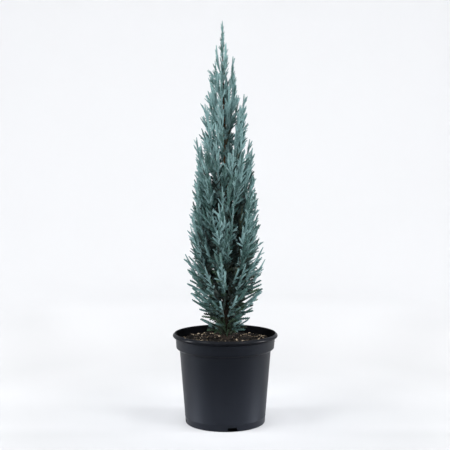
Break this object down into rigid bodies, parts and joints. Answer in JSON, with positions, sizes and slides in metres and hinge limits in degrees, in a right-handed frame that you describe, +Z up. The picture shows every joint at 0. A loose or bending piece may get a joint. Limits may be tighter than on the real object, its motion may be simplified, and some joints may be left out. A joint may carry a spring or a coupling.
{
  "type": "potted rocky mountain juniper",
  "caption": "Slim columnar blue-grey juniper with plumes of scale-leaved foliage round an upright trunk, in soil in a round black nursery pot.",
  "frame": {"origin": "on the floor under the centre of the pot", "axes": "+Z up along the trunk, -Y towards the front of the picture, +X to the right"},
  "size_m": [0.19, 0.19, 0.7203],
  "materials": {
    "pot": "black, satin",
    "soil": "dark peat and bark",
    "bark": "rough reddish brown",
    "foliage_light": "matt blue-grey",
    "foliage_mid": "matt blue-green",
    "foliage_green": "matt grey-green"
  },
  "bodies": {
    "root": {"pot": "pot", "soil": "soil", "trunk": "bark", "plume_crest_1": "foliage_light", "plume_crest_2": "foliage_mid", "plume_crest_3": "foliage_green", "plume_spire_1": "foliage_light", "plume_spire_2": "foliage_mid", "plume_spire_3": "foliage_green", "plume_upper_1": "foliage_light", "plume_upper_2": "foliage_mid", "plume_upper_3": "foliage_green", "plume_upper_4": "foliage_light", "plume_second_leader": "foliage_mid", "plume_shoulder_1": "foliage_green", "plume_shoulder_2": "foliage_light", "plume_shoulder_3": "foliage_mid", "plume_shoulder_4": "foliage_green", "plume_high_1": "foliage_light", "plume_high_2": "foliage_mid", "plume_high_3": "foliage_green", "plume_high_4": "foliage_light", "plume_high_5": "foliage_mid", "plume_high_6": "foliage_green", "plume_middle_1": "foliage_light", "plume_middle_2": "foliage_mid", "plume_middle_3": "foliage_green", "plume_middle_4": "foliage_light", "plume_middle_5": "foliage_mid", "plume_middle_6": "foliage_green", "plume_waist_1": "foliage_light", "plume_waist_2": "foliage_mid", "plume_waist_3": "foliage_green", "plume_waist_4": "foliage_light", "plume_waist_5": "foliage_mid", "plume_waist_6": "foliage_green", "plume_low_1": "foliage_light", "plume_low_2": "foliage_mid", "plume_low_3": "foliage_green", "plume_low_4": "foliage_light", "plume_low_5": "foliage_mid", "plume_low_6": "foliage_green", "plume_skirt_1": "foliage_light", "plume_skirt_2": "foliage_mid", "plume_skirt_3": "foliage_green", "plume_skirt_4": "foliage_light", "plume_skirt_5": "foliage_mid", "plume_hem_1": "foliage_green", "plume_hem_2": "foliage_light", "plume_hem_3": "foliage_mid", "plume_leader": "foliage_green", "bough_second_leader": "bark", "bough_waist_1": "bark", "bough_waist_2": "bark", "bough_waist_3": "bark", "bough_waist_4": "bark", "bough_waist_5": "bark", "bough_waist_6": "bark"}
  },
  "joints": []
}
